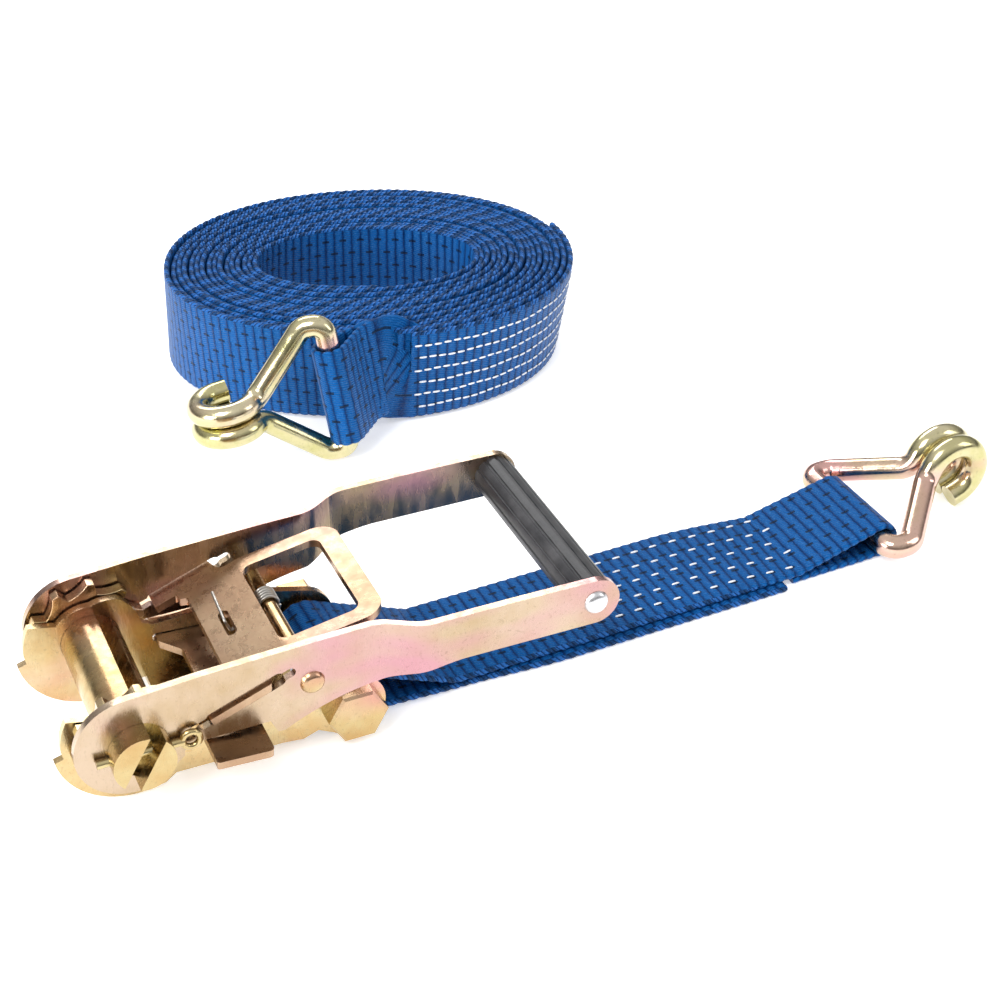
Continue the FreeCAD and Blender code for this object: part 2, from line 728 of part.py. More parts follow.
def handle_pawl():
    """Sliding plate with two wheel tips, four guided ear ends and a finger loop."""
    ear = HANDLE_OUT + 1.5
    tip_inner = HALF_GAP + 2.5
    half_web = HALF_GAP + 3.0
    half_window = HALF_GAP - 3.4
    bend_at = size("pawl_tip") + 36.1
    bend_x, bend_z = on_slide(bend_at)
    loop_rise = 6.3
    loop_end = (size("finger_loop_end"), bend_z + loop_rise)
    bend_dir = Vector(loop_end[0] - bend_x, 0, loop_rise).normalize()
    bend_up = Vector(-bend_dir.z, 0, bend_dir.x)
    half = PAWL_T / 2

    def near_bend(height):
        slope_gap = math.tan((SLIDE - math.atan2(bend_dir.z, bend_dir.x)) / 2) * height
        return on_slide(bend_at + slope_gap, height)

    def end_point(height):
        return loop_end[0] + bend_up.x * height, loop_end[1] + bend_up.z * height

    side = rounded(
        [
            (*on_slide(size("pawl_tip"), half), 0),
            (*on_slide(size("pawl_tip"), -half), 0),
            (*near_bend(-half), 22),
            (*end_point(-half), 0),
            (*end_point(half), 0),
            (*near_bend(half), 22 - PAWL_T),
        ]
    )
    tip_x = on_slide(size("pawl_tip"), -half)[0] - 2
    web_x = on_slide(size("pawl_tip") + 12.0)[0]
    notch_x = on_slide(size("pawl_tip") + 9.0)[0]
    ear_x = on_slide(PAWL_EAR_END)[0]
    window_x = on_slide(size("pawl_tip") + 34.0)[0]
    end_x = loop_end[0] + 2
    plan = rounded(
        [
            (tip_x, -ear, 0),
            (ear_x, -ear, 1.0),
            (ear_x + 3.0, -half_web, 4.0),
            (end_x - 2.0, -half_web, 9.0),
            (end_x - 2.0, half_web, 9.0),
            (ear_x + 3.0, half_web, 4.0),
            (ear_x, ear, 1.0),
            (tip_x, ear, 0),
            (tip_x, tip_inner, 0),
            (notch_x, tip_inner, 1.0),
            (notch_x, tip_inner - 3.0, 1.0),
            (web_x, tip_inner - 5.0, 1.5),
            (web_x, -tip_inner + 5.0, 1.5),
            (notch_x, -tip_inner + 3.0, 1.0),
            (notch_x, -tip_inner, 1.0),
            (tip_x, -tip_inner, 0),
        ]
    )
    window = rounded(
        [
            (window_x, -half_window, 4.0),
            (loop_end[0] - 8.0, -half_window, 4.0),
            (loop_end[0] - 8.0, half_window, 4.0),
            (window_x, half_window, 4.0),
        ]
    )
    hole_x = on_slide(size("pawl_tip") + 20.5)[0]
    hole = rounded(
        [
            (hole_x - 1.9, -7.0, 1.8),
            (hole_x + 1.9, -7.0, 1.8),
            (hole_x + 1.9, 7.5, 1.8),
            (hole_x - 1.9, 7.5, 1.8),
        ]
    )
    slab = prism_y(side, -ear, ear).common(prism_z(plan, 0, 90))
    slab = slab.cut(prism_z(window, 0, 90)).cut(prism_z(hole, 0, 90))
    code_shape("handle_pawl", slab.removeSplitter())


def handle_pawl_spring():
    """Torsion spring on the cross rod and the leg that pulls the handle pawl down."""
    wire = size("spring_wire")
    coil_radius = size("rod_diameter") / 2 + 0.35 + wire / 2
    place = Placement(Vector(ROD[0], 16, ROD[1]), Rotation(Z_AXIS, Y_AXIS * -1))
    helix_spring("handle_pawl_spring", coil_radius, wire, 5, wire * 1.25, place)
    hole_at = size("pawl_tip") + 20.5
    over = PAWL_T / 2 + wire / 2 + 0.1
    leg_end = size("pawl_tip") + 33.0
    points = []
    for along, y, height in (
        (hole_at + 1.0, 19.0, over),
        (hole_at, 1.5, over),
        (hole_at, 0.5, -over - 0.9),
        (leg_end, 9.0, -over - 0.9),
    ):
        x, z = on_slide(along, height)
        points.append(Vector(x, y, z))
    leg = rod_along(bent_path(points, (1.2, 1.2)), wire / 2, points[0], points[1] - points[0])
    code_shape("handle_pawl_spring_leg", leg)


def tangent_point(centre, radius, point, side):
    """Where a line from a point touches a circle; side is +1 or -1."""
    dx = centre[0] - point[0]
    dz = centre[1] - point[1]
    distance = math.hypot(dx, dz)
    spread = math.degrees(math.acos(radius / distance))
    towards = math.degrees(math.atan2(-dz, -dx))
    return polar(radius, towards + side * spread, centre)


def angle_about(centre, point):
    return math.degrees(math.atan2(point[1] - centre[1], point[0] - centre[0]))


def loop_outline(centre, radius, top, bottom):
    """Closed teardrop round a centre, ending in a top and a bottom point on its +X side."""
    upper = tangent_point(centre, radius, top, 1)
    lower = tangent_point(centre, radius, bottom, -1)
    start = angle_about(centre, upper)
    end = angle_about(centre, lower)
    if end < start:
        end += 360
    return outline(
        top, ("line", *upper), arc_step(radius, start, end, centre), ("line", *bottom)
    )


def mirrored(curves, x):
    """An outline reflected about a line of constant x."""
    flip = FreeCAD.Matrix(-1, 0, 0, 2 * x, 0, 1, 0, 0, 0, 0, 1, 0, 0, 0, 0, 1)
    return face_of(curves).transformGeometry(flip)


def flat_prism(face, low, high):
    """Solid between y = low and y = high from a face drawn in (x, z)."""
    face = face.copy()
    face.rotate(Vector(), X_AXIS, 90)
    face.translate(Vector(0, low, 0))
    return face.extrude(Vector(0, high - low, 0))


def short_strap():
    """Folded webbing: one loop round the bolt's sleeve, two sewn plies, one loop on the hook."""
    ply = size("webbing_thickness")
    half_width = size("webbing_width") / 2
    length = size("short_strap_length")
    hook_z = size("hook_wire") / 2 + size("hook_play") + ply + LOOP_REST
    bolt_inner = size("sleeve_diameter") / 2 + size("strap_play")
    hook_inner = size("hook_wire") / 2 + size("hook_play")
    bolt_centre = (0.0, BOLT[1])
    hook_centre = (length, hook_z)
    first = bolt_inner * 6.4
    last = length - hook_inner * 6.5
    mid = length / 2
    flip_hook = (2 * mid - hook_centre[0], hook_z)
    bolt_loop = face_of(
        loop_outline(bolt_centre, bolt_inner + ply, (first, 2 * ply), (first, 0.0))
    )
    bolt_void = face_of(
        loop_outline(bolt_centre, bolt_inner, (first - 6, ply + 0.05), (first - 6, ply - 0.05))
    )
    hook_start = 2 * mid - last
    hook_loop = mirrored(
        loop_outline(flip_hook, hook_inner + ply, (hook_start, 2 * ply), (hook_start, 0.0)), mid
    )
    hook_void = mirrored(
        loop_outline(
            flip_hook, hook_inner, (hook_start - 4, ply + 0.05), (hook_start - 4, ply - 0.05)
        ),
        mid,
    )
    plies = face_of(rounded([(first, 0, 0), (last, 0, 0), (last, 2 * ply, 0), (first, 2 * ply, 0)]))
    solid = flat_prism(plies, -half_width, half_width)
    for face in (bolt_loop, hook_loop):
        solid = solid.fuse(flat_prism(face, -half_width, half_width))
    for face in (bolt_void, hook_void):
        solid = solid.cut(flat_prism(face, -half_width - 1, half_width + 1))
    strap = code_shape("short_strap", solid.removeSplitter())
    turn = Rotation(Z_AXIS, size("short_strap_turn"))
    strap.Placement = Placement(Vector(BOLT[0], 0, 0), turn)
    place = strap.Placement * Placement(Vector(length, 0, hook_z), Rotation())
    claw_hook("short_hook", place)


def hook_bend():
    """Radius of the bends at the ends of a hook's bar."""
    return size("hook_wire") / 2 + 0.3


def hook_half_bar():
    """Half the length of a hook's bar, so that the webbing lies on its straight part."""
    return size("webbing_width") / 2 + 0.2 + hook_bend()


def claw_centre():
    """Middle of the claws' curl, from the middle of the hook's bar."""
    lift = size("hook_play") + size("webbing_thickness") + LOOP_REST
    end = math.radians(CLAW_END)
    height = -lift - size("hook_curl_radius") * math.sin(end) + CLAW_TAIL * math.cos(end)
    return Vector(size("hook_reach"), 0, height)


def claw_hook(label, placement):
    """Claw hook bent from one round wire: bar, two converging arms and two curled claws.

    The bar's middle is the origin and the bar lies along Y; the arms rise as they converge,
    and the claws curl up, over and back down on the +X side.
    """
    wire = size("hook_wire") / 2
    curl = size("hook_curl_radius")
    corner = size("hook_corner")
    half_bar = hook_half_bar()
    claw_y = wire + 0.2
    centre = claw_centre()

    def curl_point(degrees, y):
        angle = math.radians(degrees)
        return centre + Vector(curl * math.cos(angle), y, curl * math.sin(angle))

    def forward(degrees):
        """Direction of the wire where it passes a point of the curl."""
        angle = math.radians(degrees)
        return Vector(math.sin(angle), 0, -math.cos(angle))

    def half_hook(sign):
        """From a claw's tip to the middle of the bar."""
        y = sign * claw_y
        last = curl_point(CLAW_END, y)
        start = curl_point(CLAW_START, y)
        middle = curl_point((CLAW_START + CLAW_END) / 2, y)
        tip = last + forward(CLAW_END) * CLAW_TAIL
        corners = [
            start,
            start - forward(CLAW_START) * 6.0,
            Vector(corner, sign * half_bar, 0),
            Vector(0, sign * half_bar, 0),
            Vector(0, 0, 0),
        ]
        edges = [Part.makeLine(tip, last), Part.Arc(last, middle, start).toShape()]
        edges += bent_path(corners, (9.0, 0.7 * corner, hook_bend()))
        return rod_along(edges, wire, tip, forward(CLAW_END))

    hook = half_hook(-1).fuse(half_hook(1)).removeSplitter()
    code_shape(label, hook).Placement = placement


def coil_solid(shrink, low, high):
    """Solid oval, standing but leaning, of the coil's outline made smaller all round."""
    half_length = size("coil_length") / 2
    half_breadth = size("coil_width") / 2
    wires = []
    for level in (low, high):
        down = 1 - level / size("webbing_width")
        ratio = 1 - down * (1 - size("coil_foot_ratio"))
        oval = Part.Ellipse(Vector(), half_length * ratio - shrink, half_breadth * ratio - shrink)
        wire = Part.Wire(oval.toShape())
        foot = Vector(size("coil_foot_x"), size("coil_foot_y"), 0) * down
        centre = Vector(size("coil_x"), size("coil_y"), level) + foot
        wire.Placement = Placement(centre, Rotation(Z_AXIS, size("coil_turn")))
        wires.append(wire)
    return Part.makeLoft(wires, True, True)


def coil_front(share):
    """Point of the coil's outline half way up, a share of its half length along its front."""
    half_length = size("coil_length") / 2 * (1 + size("coil_foot_ratio")) / 2
    half_breadth = size("coil_width") / 2 * (1 + size("coil_foot_ratio")) / 2
    foot = Vector(size("coil_foot_x"), size("coil_foot_y"), 0) / 2
    centre = Vector(size("coil_x"), size("coil_y"), size("webbing_width") / 2) + foot
    across = -half_breadth * math.sqrt(1 - share**2)
    place = Placement(centre, Rotation(Z_AXIS, size("coil_turn")))
    return place.multVec(Vector(share * half_length, across, 0))


def long_hook_place():
    """Where the long strap's hook stands: its bar nearly upright, its claws to one side."""
    rise = hook_half_bar() + size("hook_wire") / 2 + 1.5
    turn = Rotation(Z_AXIS, size("long_hook_turn"))
    turn = turn * Rotation(X_AXIS, size("long_hook_lean") - 90)
    turn = turn * Rotation(Z_AXIS, size("long_hook_tip"))
    return Placement(Vector(size("long_hook_x"), size("long_hook_y"), rise), turn)


def long_strap():
    """Oval coil of the long strap, the sewn end that leaves it, and the hook on that end."""
    width = size("webbing_width")
    ply = size("webbing_thickness")
    ring = coil_solid(0, 0, width).cut(coil_solid(size("coil_wall"), -1, width + 1))
    code_shape("long_strap_coil", ring)

    hook_inner = size("hook_wire") / 2 + size("hook_play")
    hook_place = long_hook_place()
    bar = hook_place.Base
    along_bar = hook_place.Rotation.multVec(Y_AXIS) * -1
    heading = coil_front(size("tail_joins_at")) - bar
    heading.z = 0
    reach = heading.Length + 6 * ply
    first = hook_inner * 3.2
    outer = loop_outline((0, 0), hook_inner + ply, (first, ply), (first, -ply))
    void = loop_outline((0, 0), hook_inner, (first - 3, 0.05), (first - 3, -0.05))
    plies = rounded([(first, -ply, 0), (reach, -ply, 0), (reach, ply, 0), (first, ply, 0)])
    half = width / 2
    tail = prism_z(outer, -half, half).fuse(prism_z(plies, -half, half))
    tail = tail.cut(prism_z(void, -half - 1, half + 1))
    tail.Placement = Placement(bar, Rotation(heading, Vector(), along_bar, "ZXY"))
    tail = tail.cut(coil_solid(0, -30, 3 * width))
    code_shape("long_strap_tail", tail.removeSplitter())
    claw_hook("long_hook", hook_place)


def centre_set():
    """Moves every piece sideways so that the set's middle is over the origin."""
    whole = FreeCAD.BoundBox()
    for piece in pieces.values():
        whole.add(piece.Shape.optimalBoundingBox(False, False))
    shift = Placement(Vector(-whole.Center.x, -whole.Center.y, 0), Rotation())
    for piece in pieces.values():
        piece.Placement = shift.multiply(piece.Placement)
    doc.recompute()


def check_document():
    """Stops if a feature failed or a piece has no sound solid."""
    for obj in doc.Objects:
        if "Invalid" in obj.State or "Error" in obj.State:
            raise RuntimeError("%s is in state %s" % (obj.Label, obj.State))
    for name, piece in pieces.items():
        shape = piece.Shape
        if shape.isNull() or not shape.isValid() or len(shape.Solids) != 1:
            raise RuntimeError("%s: shape is not one sound solid" % name)


def main():
    for side in SIDES:
        frame_plate(side)
    floor_rivets()
    strap_bolt()
    frame_pawl()
    frame_pawl_spring()
    spindle()
    ratchet_wheels()
    handle_plates()
    handle_rod()
    handle_grip()
    handle_pawl()
    handle_pawl_spring()
    short_strap()
    long_strap()
    doc.recompute()
    centre_set()
    check_document()
    os.makedirs("parts", exist_ok=True)
    for name, piece in pieces.items():
        piece.Shape.exportStep(os.path.join("parts", name + ".step"))
        print("%-26s %10.0f mm3" % (name, piece.Shape.Volume))


main()
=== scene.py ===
import json
import math

import bpy
import numpy as np
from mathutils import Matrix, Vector


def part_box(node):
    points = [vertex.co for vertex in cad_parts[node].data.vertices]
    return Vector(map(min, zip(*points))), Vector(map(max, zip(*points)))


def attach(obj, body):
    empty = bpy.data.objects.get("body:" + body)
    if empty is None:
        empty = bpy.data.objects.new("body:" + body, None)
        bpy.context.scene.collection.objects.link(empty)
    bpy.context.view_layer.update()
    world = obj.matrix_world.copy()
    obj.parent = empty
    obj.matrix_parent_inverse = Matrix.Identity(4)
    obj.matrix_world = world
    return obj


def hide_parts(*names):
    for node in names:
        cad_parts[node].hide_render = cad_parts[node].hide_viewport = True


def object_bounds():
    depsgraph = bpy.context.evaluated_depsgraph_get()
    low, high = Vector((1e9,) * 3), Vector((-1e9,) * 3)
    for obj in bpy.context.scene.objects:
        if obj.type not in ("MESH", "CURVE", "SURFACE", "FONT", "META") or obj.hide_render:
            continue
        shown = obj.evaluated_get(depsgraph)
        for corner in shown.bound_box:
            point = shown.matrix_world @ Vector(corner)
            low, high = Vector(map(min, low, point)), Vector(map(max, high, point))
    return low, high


# Ratchet tie down: CAD steel with zinc materials, and the webbing modelled as two closed
# ribbons: the sewn short strap, and the long strap wound into its coil.
# Metres, in the row frame.

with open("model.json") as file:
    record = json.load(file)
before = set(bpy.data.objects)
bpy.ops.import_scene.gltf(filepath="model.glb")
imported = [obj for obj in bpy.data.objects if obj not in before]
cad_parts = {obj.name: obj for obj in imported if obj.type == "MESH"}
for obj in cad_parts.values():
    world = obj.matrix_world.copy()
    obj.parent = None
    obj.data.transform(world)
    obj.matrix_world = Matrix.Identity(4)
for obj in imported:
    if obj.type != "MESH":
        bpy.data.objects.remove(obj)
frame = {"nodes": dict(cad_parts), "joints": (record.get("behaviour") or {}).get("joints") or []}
first_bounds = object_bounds()

WIDTH = 0.050
PLY = 0.0028  # one layer of webbing, with the gap to the next
THICK = 0.0026  # one layer of webbing by itself
RIB = 0.0044  # pitch of the ribs along the webbing
YARN = 0.0011  # pitch of the yarns across it
STEP = RIB / 4  # distance between a ribbon's cross-sections
TRACER_GAP = 0.00714  # between the rows of tracer dashes, which the long strap's seams follow
SCALLOP = 0.0005  # how far the edges draw in between two ribs


# ---------------------------------------------------------------- places, from the frame
def middle(node):
    low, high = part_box(node)
    return (low + high) / 2


def joint(name):
    return next(j for j in frame["joints"] if j["name"] == name)


def unit(vector):
    vector = np.asarray(vector, float)
    return vector / np.linalg.norm(vector)


spindle = (middle("ratchet_wheel_left") + middle("ratchet_wheel_right")) / 2
sleeve_low, sleeve_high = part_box("strap_bolt_sleeve")
SLEEVE = (sleeve_high.z - sleeve_low.z) / 2  # its radius
WIRE = 0.005  # half the hooks' wire
LOOP_PLAY = 0.0004  # between a hook's bar and the webbing round it
SEWN_LENGTH = 0.144  # the long strap's end is sewn along the outside of the coil


# ---------------------------------------------------------------- node-tree helper
class Nodes:
    """Short calls for building a material's node tree."""

    def __init__(self, name):
        self.material = bpy.data.materials.new(name)
        self.material.use_nodes = True
        self.tree = self.material.node_tree
        self.shader = self.tree.nodes["Principled BSDF"]

    def add(self, kind, inputs=None, **settings):
        node = self.tree.nodes.new(kind)
        for key, value in settings.items():
            setattr(node, key, value)
        for key, value in (inputs or {}).items():
            if hasattr(value, "is_output"):
                self.tree.links.new(value, node.inputs[key])
            else:
                node.inputs[key].default_value = value
        return node

    def math(self, operation, *values):
        node = self.add("ShaderNodeMath", dict(enumerate(values)), operation=operation)
        return node.outputs[0]

    def noise(self, scale, detail=3.0, stretch=(1, 1, 1), roughness=0.5):
        place = self.add("ShaderNodeTexCoord").outputs["Object"]
        stretched = self.add("ShaderNodeVectorMath", {0: place, 1: stretch}, operation="MULTIPLY")
        inputs = {"Vector": stretched.outputs[0], "Scale": scale, "Detail": detail}
        inputs["Roughness"] = roughness
        return self.add("ShaderNodeTexNoise", inputs).outputs["Fac"]

    def grey(self, value, first, last):
        """Grey level of a value, between two stops: each a place and its level."""
        node = self.add("ShaderNodeValToRGB", {"Fac": value})
        for element, (place, level) in zip(node.color_ramp.elements, (first, last)):
            element.position = place
            element.color = (level, level, level, 1)
        return node.outputs["Color"]

    def mix(self, factor, first, second):
        """Colour between two colours. Either may be a socket or three numbers."""
        node = self.add("ShaderNodeMix", data_type="RGBA")
        for socket, value in ((0, factor), (6, first), (7, second)):
            if hasattr(value, "is_output"):
                self.tree.links.new(value, node.inputs[socket])
            elif socket:
                node.inputs[socket].default_value = (*value, 1)
            else:
                node.inputs[socket].default_value = value
        return node.outputs[2]

    def bump(self, height, distance, strength=1.0):
        inputs = {"Height": height, "Distance": distance, "Strength": strength}
        node = self.add("ShaderNodeBump", inputs)
        self.tree.links.new(node.outputs[0], self.shader.inputs["Normal"])

    def set(self, **values):
        for name, value in values.items():
            socket = self.shader.inputs[name.replace("_", " ")]
            if hasattr(value, "is_output"):
                self.tree.links.new(value, socket)
            else:
                socket.default_value = value


# ---------------------------------------------------------------- materials
def srgb(red, green, blue):
    """Linear colour of an everyday 0 to 255 colour."""
    return tuple(
        c / 12.92 if c <= 0.04045 else ((c + 0.055) / 1.055) ** 2.4
        for c in (red / 255, green / 255, blue / 255)
    )


def zinc(name, pale, gold, tint, roughness):
    """Yellow-passivated zinc plate: clouds of straw, pink and green over bright steel."""
    n = Nodes(name)
    clouds = n.noise(38, 4, roughness=0.6)
    bands = n.noise(17, 2, (1.0, 0.5, 2.2))
    colour = n.mix(n.grey(clouds, (0.36, 0), (0.62, 1)), srgb(*pale), srgb(*gold))
    colour = n.mix(n.grey(bands, (0.48, 0), (0.68, 0.75)), colour, srgb(*tint))
    specks = n.noise(900, 2)
    colour = n.mix(n.grey(specks, (0.60, 0), (0.78, 0.30)), colour, srgb(96, 80, 62))
    n.set(Base_Color=colour, Metallic=1.0)
    wear = n.noise(260, 3, (1, 1, 0.25))
    n.set(Roughness=n.grey(wear, (0.3, roughness - 0.07), (0.75, roughness + 0.12)))
    n.bump(n.noise(700, 3, (1, 1, 0.3)), 0.00012, 0.35)
    return n.material


def plain_steel(name, colour, roughness):
    """Bare drawn steel, lightly brushed and speckled."""
    n = Nodes(name)
    streaks = n.noise(420, 4, (0.15, 1, 1))
    dark = tuple(0.62 * c for c in srgb(*colour))
    n.set(Base_Color=n.mix(n.grey(streaks, (0.3, 0), (0.8, 0.8)), srgb(*colour), dark))
    n.set(Metallic=1.0, Roughness=n.grey(streaks, (0.3, roughness), (0.8, roughness + 0.15)))
    n.bump(streaks, 0.0001, 0.3)
    return n.material


def moulded_plastic(name):
    """Dark moulded plastic with a fine spark-eroded grain and scuffed ribs."""
    n = Nodes(name)
    scuffs = n.noise(55, 5, roughness=0.7)
    scuffed = n.grey(scuffs, (0.45, 0), (0.75, 1))
    n.set(Base_Color=n.mix(scuffed, srgb(38, 38, 41), srgb(72, 71, 73)))
    n.set(Roughness=n.grey(scuffs, (0.35, 0.36), (0.7, 0.55)))
    n.bump(n.noise(2600, 2), 0.00008, 0.5)
    return n.material


def woven(name, crest, painted_groove_shade, tracer):
    """Flat polyester webbing: ribs across it, fine yarns on each rib, tracer dashes, painted
    shade in the grooves and painted glints on the crests.

    It reads the ribbon's own coordinates: metres along it, across it and through it.
    """
    n = Nodes(name)
    weave = n.add("ShaderNodeAttribute", attribute_name="weave").outputs["Vector"]
    split = n.add("ShaderNodeSeparateXYZ", {0: weave})
    along, across, through = split.outputs

    def wave(value, pitch):
        """0 in the grooves and 1 on the crests of a row of that pitch."""
        return n.math("ABSOLUTE", n.math("SINE", n.math("MULTIPLY", value, math.pi / pitch)))

    edge = n.math("ABSOLUTE", across)
    wander = n.math("MULTIPLY", n.math("SUBTRACT", n.noise(700, 2), 0.5), 0.0012)
    rib = wave(n.math("ADD", along, wander), RIB)
    yarn = wave(n.math("ADD", across, n.math("MULTIPLY", along, 0.25)), YARN)
    crest_line = n.math("POWER", rib, 0.7)
    height = n.math("MULTIPLY", crest_line, n.math("ADD", 0.62, n.math("MULTIPLY", yarn, 0.38)))

    fade = n.noise(24, 4)
    # Pale blue flecks from fine noise on the crests are painted glints of the shiny yarn.
    fine = n.noise(1300, 3)
    pale = tuple(0.45 * c + 0.55 * d for c, d in zip(srgb(*crest), srgb(84, 152, 212)))
    faded = tuple(0.7 * c for c in srgb(*crest))
    light = n.mix(n.grey(fade, (0.35, 0), (0.7, 0.6)), srgb(*crest), faded)
    light = n.mix(n.grey(fine, (0.52, 0), (0.72, 0.5)), light, pale)
    # The colour runs from the crests down to a dark navy in the grooves between ribs and yarns:
    # painted shade.
    colour = n.mix(n.grey(height, (0.12, 0), (0.80, 1)), srgb(*painted_groove_shade), light)

    # Rows are counted from 40, so that their numbers stay above 0 on both sides of the middle.
    half_dash = 0.00064
    row = n.math("ADD", n.math("DIVIDE", across, TRACER_GAP), 40.0)
    off_row = n.math("ABSOLUTE", n.math("SUBTRACT", n.math("FRACT", row), 0.5))
    in_row = n.math("LESS_THAN", off_row, half_dash / TRACER_GAP)
    half_step = n.math("MULTIPLY", n.math("FLOOR", row), 0.5)
    phase = n.math("FRACT", n.math("ADD", n.math("DIVIDE", along, 2 * RIB), half_step))
    dash = n.math("LESS_THAN", n.math("ABSOLUTE", n.math("SUBTRACT", phase, 0.5)), 0.20)
    inside = n.math("LESS_THAN", edge, 0.0205)
    mask = n.math("MULTIPLY", n.math("MULTIPLY", in_row, dash), inside)
    colour = n.mix(n.math("MULTIPLY", mask, 0.85), colour, srgb(*tracer))

    # On the selvedges a slanting braid, with painted shade in the hollows between its strands.
    slant = n.math("ADD", along, n.math("MULTIPLY", through, 1.1))
    braid = wave(slant, RIB / 2)
    strand = n.math("LESS_THAN", n.math("FRACT", n.math("DIVIDE", slant, 2 * RIB)), 0.42)
    selvedge = n.math("GREATER_THAN", edge, WIDTH / 2 - 0.0014)
    braided = n.mix(n.grey(braid, (0.15, 0), (0.7, 1)), srgb(*painted_groove_shade), srgb(40, 96, 168))
    braided = n.mix(n.math("MULTIPLY", strand, 0.7), braided, srgb(*tracer))
    colour = n.mix(selvedge, colour, braided)
    n.set(Base_Color=colour, Roughness=0.46, Sheen_Weight=0.05, Sheen_Roughness=0.4)
    n.set(Specular_IOR_Level=0.42)
    for tint in ("Sheen Tint", "Specular Tint"):
        n.shader.inputs[tint].default_value = (*srgb(120, 180, 245), 1)
    relief = n.math("ADD", height, n.math("MULTIPLY", n.math("MULTIPLY", braid, selvedge), 0.5))
    n.bump(relief, 0.0007, 1.0)
    return n.material


def thread(name):
    """White polyester sewing thread with a twist."""
    n = Nodes(name)
    twist = n.noise(1400, 3, (1, 1, 3))
    shade = n.grey(twist, (0.35, 0), (0.7, 1))
    n.set(Base_Color=n.mix(shade, srgb(246, 247, 250), srgb(196, 202, 214)))
    n.set(Roughness=0.55, Sheen_Weight=0.2)
    n.bump(twist, 0.0002, 0.6)
    return n.material


def melted_end(name):
    """Heat-cut end of the webbing: melted, darker and shinier."""
    n = Nodes(name)
    beads = n.noise(900, 4)
    melt = n.grey(beads, (0.35, 0), (0.7, 1))
    n.set(Base_Color=n.mix(melt, srgb(16, 40, 84), srgb(60, 100, 160)))
    n.set(Roughness=n.grey(beads, (0.3, 0.28), (0.7, 0.6)))
    n.bump(beads, 0.0006, 0.8)
    return n.material


def studio_floor():
    n = Nodes("studio_floor")
    n.set(Base_Color=(1, 1, 1, 1), Roughness=0.9, Emission_Color=(1, 1, 1, 1))
    n.set(Emission_Strength=0.45)
    return n.material


# ---------------------------------------------------------------- steel and plastic pieces
def finish_node(node, material, edge=0.0):
    """Gives a CAD piece its material and slightly rounded edges."""
    piece = frame["nodes"][node]
    for slot in piece.material_slots:
        slot.material = material
    if edge:
        weld = piece.modifiers.new("weld", "WELD")
        weld.merge_threshold = 0.00001
        bevel = piece.modifiers.new("bevel", "BEVEL")
        bevel.width = edge
        bevel.segments = 2
        bevel.limit_method = "ANGLE"
        bevel.angle_limit = math.radians(38)
        shading = piece.modifiers.new("shading", "WEIGHTED_NORMAL")
        shading.weight = 100


def finish_hardware():
    plate = zinc("zinc_handle", (184, 164, 142), (172, 150, 120), (186, 132, 150), 0.25)
    guide = zinc("zinc_frame", (200, 186, 146), (188, 158, 110), (196, 142, 142), 0.23)
    slider = zinc("zinc_slider", (180, 154, 126), (162, 132, 106), (172, 128, 130), 0.28)
    fastener = zinc("zinc_fastener", (186, 170, 126), (176, 146, 98), (184, 130, 122), 0.24)
    hook = zinc("zinc_hook", (206, 196, 164), (186, 180, 128), (216, 160, 166), 0.18)
    bright = plain_steel("steel_bright", (214, 214, 216), 0.26)
    spring = plain_steel("steel_spring", (180, 176, 170), 0.30)
    for side in ("left", "right"):
        finish_node("handle_plate_" + side, plate)
        finish_node("frame_plate_" + side, guide, 0.0004)
        finish_node("ratchet_wheel_" + side, guide, 0.0003)
        finish_node("spindle_pin_" + side, fastener)
    for node in ("spindle_half_upper", "spindle_half_lower"):
        finish_node(node, fastener, 0.0004)
    for node in ("strap_bolt", "strap_bolt_nut", "grip_bolt_nut"):
        finish_node(node, fastener, 0.0004)
    for node in ("floor_rivet_1", "floor_rivet_2", "handle_cross_rod", "strap_bolt_sleeve"):
        finish_node(node, fastener)
    finish_node("grip_bolt", bright)
    for node in ("handle_pawl", "frame_pawl"):
        finish_node(node, slider, 0.0004)
    for node in ("frame_pawl_spring", "handle_pawl_spring", "handle_pawl_spring_leg"):
        finish_node(node, spring)
    for node in ("short_hook", "long_hook"):
        finish_node(node, hook)
    finish_node("handle_grip", moulded_plastic("black_grip"))


